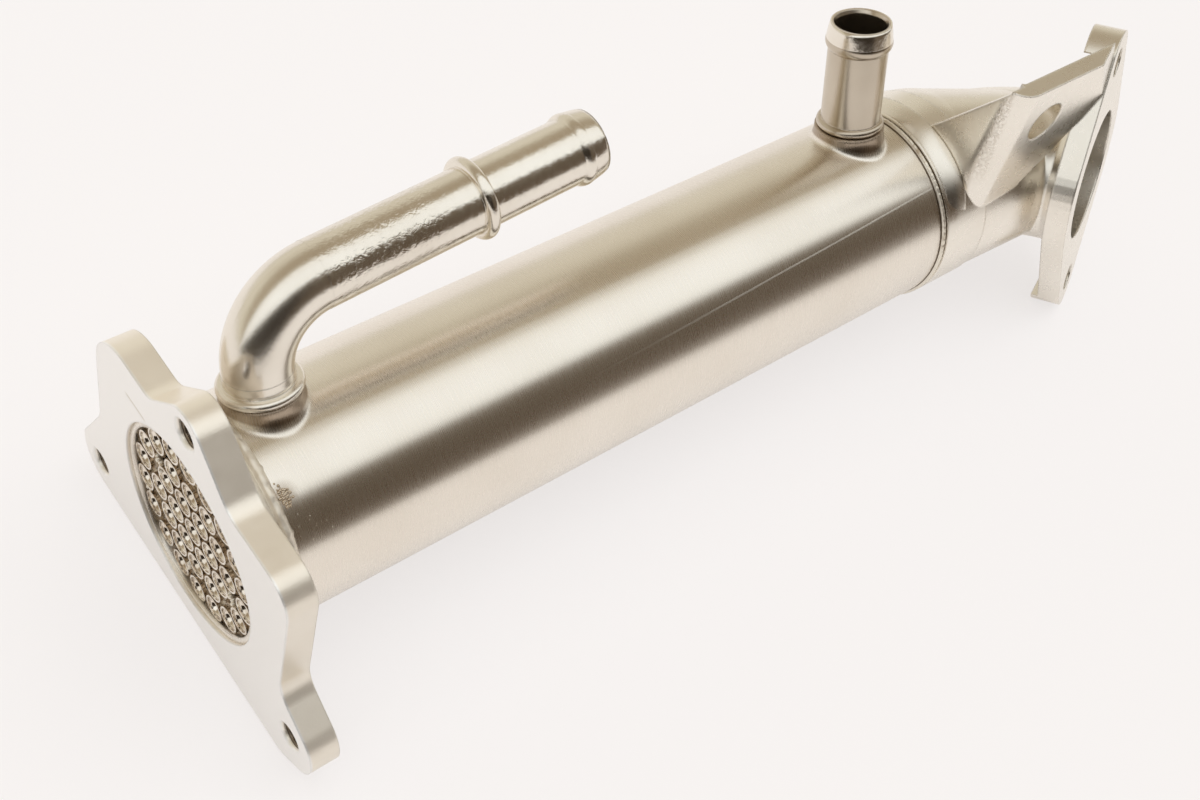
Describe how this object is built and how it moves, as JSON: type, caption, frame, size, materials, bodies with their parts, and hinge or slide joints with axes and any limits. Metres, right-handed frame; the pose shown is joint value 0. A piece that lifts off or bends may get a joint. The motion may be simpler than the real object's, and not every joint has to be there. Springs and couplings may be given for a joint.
{
  "type": "exhaust gas recirculation cooler",
  "caption": "Shell-and-tube EGR cooler: round steel shell, tube bundle behind an eared inlet flange, bent and straight coolant pipes, and a cast side outlet with a bolt flange and a folded lug.",
  "frame": {"origin": "centre of the bore on the inlet gasket face", "axes": "+X runs along the shell to the outlet, +Z is square to the straight foot edge of the inlet flange"},
  "size_m": [0.3068, 0.1045, 0.1001],
  "materials": {
    "flange": "satin nickel-toned cast steel, machined gasket face",
    "shell": "warm stainless, finely brushed around the axis",
    "pipe": "bright drawn stainless, slightly pitted",
    "casting": "fine-grained satin cast stainless",
    "weld": "heat-tinted weld bead",
    "bundle": "brazed thin stainless tubes"
  },
  "bodies": {
    "root": {"inlet_flange": "flange", "shell": "shell", "coolant_elbow": "pipe", "coolant_stub": "pipe", "outlet_elbow": "casting", "inlet_weld": "weld", "outlet_weld": "weld", "inlet_tube_sheet": "bundle", "outlet_tube_sheet": "bundle", "gas_tube_1": "bundle", "gas_tube_2": "bundle", "gas_tube_3": "bundle", "gas_tube_4": "bundle", "gas_tube_5": "bundle", "gas_tube_6": "bundle", "gas_tube_7": "bundle", "gas_tube_8": "bundle", "gas_tube_9": "bundle", "gas_tube_10": "bundle", "gas_tube_11": "bundle", "gas_tube_12": "bundle", "gas_tube_13": "bundle", "gas_tube_14": "bundle", "gas_tube_15": "bundle", "gas_tube_16": "bundle", "gas_tube_17": "bundle", "gas_tube_18": "bundle", "gas_tube_19": "bundle", "gas_tube_20": "bundle", "gas_tube_21": "bundle", "gas_tube_22": "bundle", "gas_tube_23": "bundle", "gas_tube_24": "bundle", "gas_tube_25": "bundle", "gas_tube_26": "bundle", "gas_tube_27": "bundle", "gas_tube_28": "bundle", "gas_tube_29": "bundle", "gas_tube_30": "bundle", "gas_tube_31": "bundle", "gas_tube_32": "bundle", "gas_tube_33": "bundle", "gas_tube_34": "bundle", "gas_tube_35": "bundle", "gas_tube_36": "bundle", "gas_tube_37": "bundle"}
  },
  "joints": []
}
